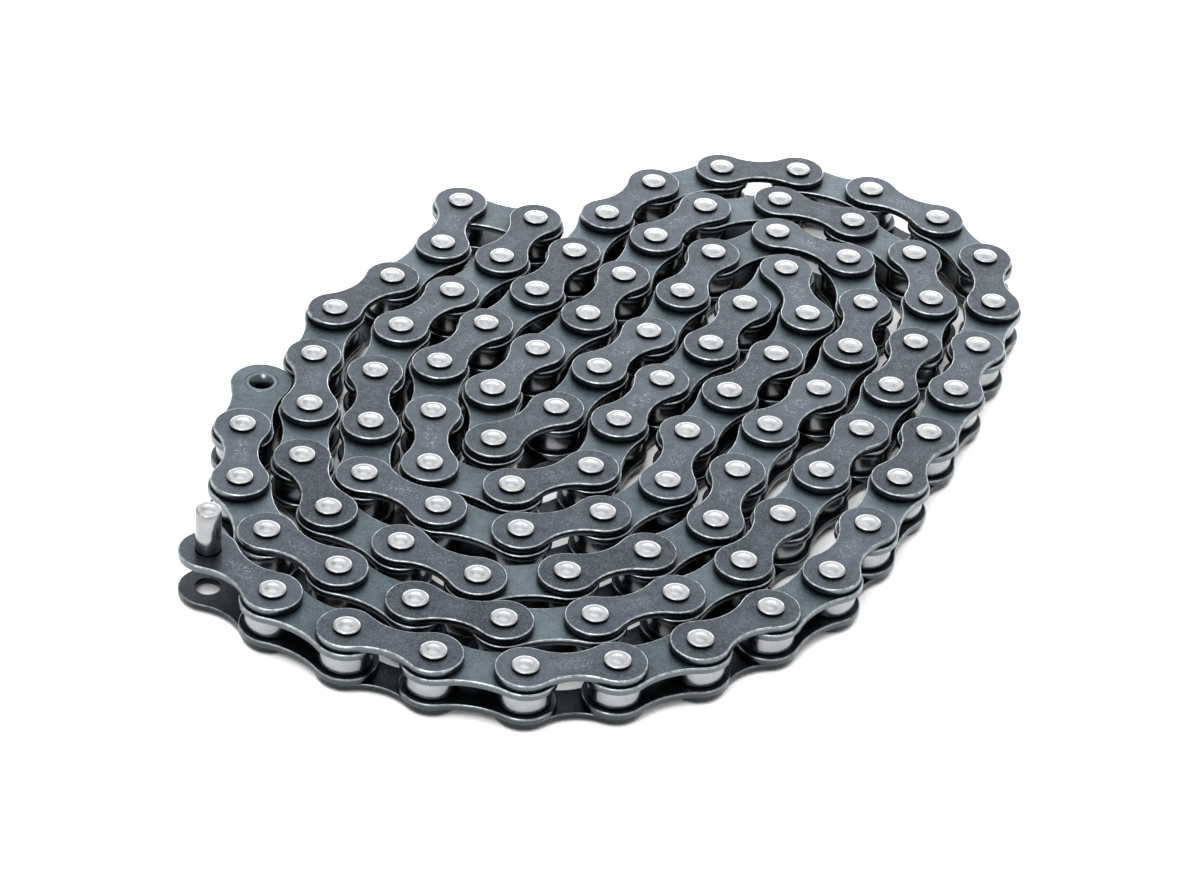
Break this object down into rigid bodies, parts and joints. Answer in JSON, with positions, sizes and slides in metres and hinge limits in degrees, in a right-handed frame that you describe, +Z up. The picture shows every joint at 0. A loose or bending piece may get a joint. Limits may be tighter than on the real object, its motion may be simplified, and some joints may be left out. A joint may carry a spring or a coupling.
{
  "type": "roller chain",
  "caption": "Half-inch roller chain lying in a loose coil, its ends not yet joined: an open bushed inner link at one end, a half-driven connecting pin at the other.",
  "frame": {"origin": "on the surface that the chain lies on, in the middle of the plan box round its link plates", "axes": "+Z up along every joint's axis, +Y along the coil's longer side, away from its rounded front edge, +X to the right with the two loose ends on the left"},
  "size_m": [0.1216, 0.1414, 0.0156],
  "materials": {
    "inner_plate_steel": "satin, dark blue-grey heat-treated steel",
    "outer_plate_steel": "satin, charcoal heat-treated steel with stamping scuffs",
    "pin_steel": "bright satin ground steel",
    "bush_steel": "bright satin rolled steel",
    "roller_steel": "bright satin ground steel"
  },
  "bodies": {
    "coil": {"coil_inner_plates_upper": "inner_plate_steel", "coil_inner_plates_lower": "inner_plate_steel", "coil_bushes": "bush_steel", "coil_rollers": "roller_steel", "coil_outer_plates_upper": "outer_plate_steel", "coil_outer_plates_lower": "outer_plate_steel", "coil_pins": "pin_steel"},
    "link_13": {"link_13_plates": "outer_plate_steel", "link_13_pins": "pin_steel"},
    "link_12": {"link_12_plates": "inner_plate_steel", "link_12_bushes": "bush_steel"},
    "link_12_roller_a": {"link_12_roller_a": "roller_steel"},
    "link_12_roller_b": {"link_12_roller_b": "roller_steel"},
    "link_11": {"link_11_plates": "outer_plate_steel", "link_11_pins": "pin_steel"},
    "link_10": {"link_10_plates": "inner_plate_steel", "link_10_bushes": "bush_steel"},
    "link_10_roller_a": {"link_10_roller_a": "roller_steel"},
    "link_10_roller_b": {"link_10_roller_b": "roller_steel"},
    "link_09": {"link_09_plates": "outer_plate_steel", "link_09_pins": "pin_steel"},
    "link_08": {"link_08_plates": "inner_plate_steel", "link_08_bushes": "bush_steel"},
    "link_08_roller_a": {"link_08_roller_a": "roller_steel"},
    "link_08_roller_b": {"link_08_roller_b": "roller_steel"},
    "link_07": {"link_07_plates": "outer_plate_steel", "link_07_pins": "pin_steel"},
    "link_06": {"link_06_plates": "inner_plate_steel", "link_06_bushes": "bush_steel"},
    "link_06_roller_a": {"link_06_roller_a": "roller_steel"},
    "link_06_roller_b": {"link_06_roller_b": "roller_steel"},
    "link_05": {"link_05_plates": "outer_plate_steel", "link_05_pins": "pin_steel"},
    "link_04": {"link_04_plates": "inner_plate_steel", "link_04_bushes": "bush_steel"},
    "link_04_roller_a": {"link_04_roller_a": "roller_steel"},
    "link_04_roller_b": {"link_04_roller_b": "roller_steel"},
    "link_03": {"link_03_plates": "outer_plate_steel", "link_03_pins": "pin_steel"},
    "link_02": {"link_02_plates": "inner_plate_steel", "link_02_bushes": "bush_steel"},
    "link_02_roller_a": {"link_02_roller_a": "roller_steel"},
    "link_02_roller_b": {"link_02_roller_b": "roller_steel"},
    "connecting_link": {"connecting_plate_upper": "outer_plate_steel", "connecting_plate_lower": "outer_plate_steel", "connecting_link_fixed_pin": "pin_steel"},
    "link_98": {"link_98_plates": "inner_plate_steel", "link_98_bushes": "bush_steel"},
    "link_98_roller_a": {"link_98_roller_a": "roller_steel"},
    "link_98_roller_b": {"link_98_roller_b": "roller_steel"},
    "link_99": {"link_99_plates": "outer_plate_steel", "link_99_pins": "pin_steel"},
    "link_100": {"link_100_plates": "inner_plate_steel", "link_100_bushes": "bush_steel"},
    "link_100_roller_a": {"link_100_roller_a": "roller_steel"},
    "link_100_roller_b": {"link_100_roller_b": "roller_steel"},
    "connecting_pin": {"connecting_pin": "pin_steel"}
  },
  "joints": [
    {"name": "joint_13_swing", "type": "hinge", "parent": "coil", "child": "link_13", "pos_m": [0.05334, 0.02006, 0.0045], "axis": [0, 0, 1], "range_deg": [0, 64]},
    {"name": "joint_12_swing", "type": "hinge", "parent": "link_13", "child": "link_12", "pos_m": [0.04963, 0.00792, 0.0045], "axis": [0, 0, 1], "range_deg": [0, 21]},
    {"name": "link_12_roller_a_spin", "type": "hinge", "parent": "link_12", "child": "link_12_roller_a", "pos_m": [0.04528, -0.00402, 0.0045], "axis": [0, 0, 1], "continuous": true},
    {"name": "link_12_roller_b_spin", "type": "hinge", "parent": "link_12", "child": "link_12_roller_b", "pos_m": [0.04963, 0.00792, 0.0045], "axis": [0, 0, 1], "continuous": true},
    {"name": "joint_11_swing", "type": "hinge", "parent": "link_12", "child": "link_11", "pos_m": [0.04528, -0.00402, 0.0045], "axis": [0, 0, 1], "range_deg": [0, 19]},
    {"name": "joint_10_swing", "type": "hinge", "parent": "link_11", "child": "link_10", "pos_m": [0.04073, -0.01587, 0.0045], "axis": [0, 0, 1], "range_deg": [0, 19]},
    {"name": "link_10_roller_a_spin", "type": "hinge", "parent": "link_10", "child": "link_10_roller_a", "pos_m": [0.03598, -0.02765, 0.0045], "axis": [0, 0, 1], "continuous": true},
    {"name": "link_10_roller_b_spin", "type": "hinge", "parent": "link_10", "child": "link_10_roller_b", "pos_m": [0.04073, -0.01587, 0.0045], "axis": [0, 0, 1], "continuous": true},
    {"name": "joint_09_swing", "type": "hinge", "parent": "link_10", "child": "link_09", "pos_m": [0.03598, -0.02765, 0.0045], "axis": [0, 0, 1], "range_deg": [0, 20]},
    {"name": "joint_08_swing", "type": "hinge", "parent": "link_09", "child": "link_08", "pos_m": [0.03081, -0.03925, 0.0045], "axis": [0, 0, 1], "range_deg": [0, 36]},
    {"name": "link_08_roller_a_spin", "type": "hinge", "parent": "link_08", "child": "link_08_roller_a", "pos_m": [0.02231, -0.04869, 0.0045], "axis": [0, 0, 1], "continuous": true},
    {"name": "link_08_roller_b_spin", "type": "hinge", "parent": "link_08", "child": "link_08_roller_b", "pos_m": [0.03081, -0.03925, 0.0045], "axis": [0, 0, 1], "continuous": true},
    {"name": "joint_07_swing", "type": "hinge", "parent": "link_08", "child": "link_07", "pos_m": [0.02231, -0.04869, 0.0045], "axis": [0, 0, 1], "range_deg": [0, 25]},
    {"name": "joint_06_swing", "type": "hinge", "parent": "link_07", "child": "link_06", "pos_m": [0.01273, -0.05702, 0.0045], "axis": [0, 0, 1], "range_deg": [0, 30]},
    {"name": "link_06_roller_a_spin", "type": "hinge", "parent": "link_06", "child": "link_06_roller_a", "pos_m": [0.00162, -0.06318, 0.0045], "axis": [0, 0, 1], "continuous": true},
    {"name": "link_06_roller_b_spin", "type": "hinge", "parent": "link_06", "child": "link_06_roller_b", "pos_m": [0.01273, -0.05702, 0.0045], "axis": [0, 0, 1], "continuous": true},
    {"name": "joint_05_swing", "type": "hinge", "parent": "link_06", "child": "link_05", "pos_m": [0.00162, -0.06318, 0.0045], "axis": [0, 0, 1], "range_deg": [0, 34]},
    {"name": "joint_04_swing", "type": "hinge", "parent": "link_05", "child": "link_04", "pos_m": [-0.01075, -0.06603, 0.0045], "axis": [0, 0, 1], "range_deg": [0, 37]},
    {"name": "link_04_roller_a_spin", "type": "hinge", "parent": "link_04", "child": "link_04_roller_a", "pos_m": [-0.02338, -0.06471, 0.0045], "axis": [0, 0, 1], "continuous": true},
    {"name": "link_04_roller_b_spin", "type": "hinge", "parent": "link_04", "child": "link_04_roller_b", "pos_m": [-0.01075, -0.06603, 0.0045], "axis": [0, 0, 1], "continuous": true},
    {"name": "joint_03_swing", "type": "hinge", "parent": "link_04", "child": "link_03", "pos_m": [-0.02338, -0.06471, 0.0045], "axis": [0, 0, 1], "range_deg": [0, 28]},
    {"name": "joint_02_swing", "type": "hinge", "parent": "link_03", "child": "link_02", "pos_m": [-0.03559, -0.06121, 0.0045], "axis": [0, 0, 1], "range_deg": [0, 32]},
    {"name": "link_02_roller_a_spin", "type": "hinge", "parent": "link_02", "child": "link_02_roller_a", "pos_m": [-0.04659, -0.05486, 0.0045], "axis": [0, 0, 1], "continuous": true},
    {"name": "link_02_roller_b_spin", "type": "hinge", "parent": "link_02", "child": "link_02_roller_b", "pos_m": [-0.03559, -0.06121, 0.0045], "axis": [0, 0, 1], "continuous": true},
    {"name": "joint_01_swing", "type": "hinge", "parent": "link_02", "child": "connecting_link", "pos_m": [-0.04659, -0.05486, 0.0045], "axis": [0, 0, 1], "range_deg": [0, 26]},
    {"name": "joint_97_swing", "type": "hinge", "parent": "coil", "child": "link_98", "pos_m": [-0.04908, -0.04167, 0.0045], "axis": [0, 0, 1], "range_deg": [0, 34]},
    {"name": "link_98_roller_a_spin", "type": "hinge", "parent": "link_98", "child": "link_98_roller_a", "pos_m": [-0.04908, -0.04167, 0.0045], "axis": [0, 0, 1], "continuous": true},
    {"name": "link_98_roller_b_spin", "type": "hinge", "parent": "link_98", "child": "link_98_roller_b", "pos_m": [-0.05445, -0.03016, 0.0045], "axis": [0, 0, 1], "continuous": true},
    {"name": "joint_98_swing", "type": "hinge", "parent": "link_98", "child": "link_99", "pos_m": [-0.05445, -0.03016, 0.0045], "axis": [0, 0, 1], "range_deg": [0, 37]},
    {"name": "joint_99_swing", "type": "hinge", "parent": "link_99", "child": "link_100", "pos_m": [-0.05578, -0.01752, 0.0045], "axis": [0, 0, 1], "range_deg": [0, 29]},
    {"name": "link_100_roller_a_spin", "type": "hinge", "parent": "link_100", "child": "link_100_roller_a", "pos_m": [-0.05578, -0.01752, 0.0045], "axis": [0, 0, 1], "continuous": true},
    {"name": "link_100_roller_b_spin", "type": "hinge", "parent": "link_100", "child": "link_100_roller_b", "pos_m": [-0.05467, -0.00487, 0.0045], "axis": [0, 0, 1], "continuous": true},
    {"name": "connecting_pin_drive", "type": "slide", "parent": "connecting_link", "child": "connecting_pin", "axis": [0, 0, -1], "range_m": [0, 0.0066]}
  ]
}
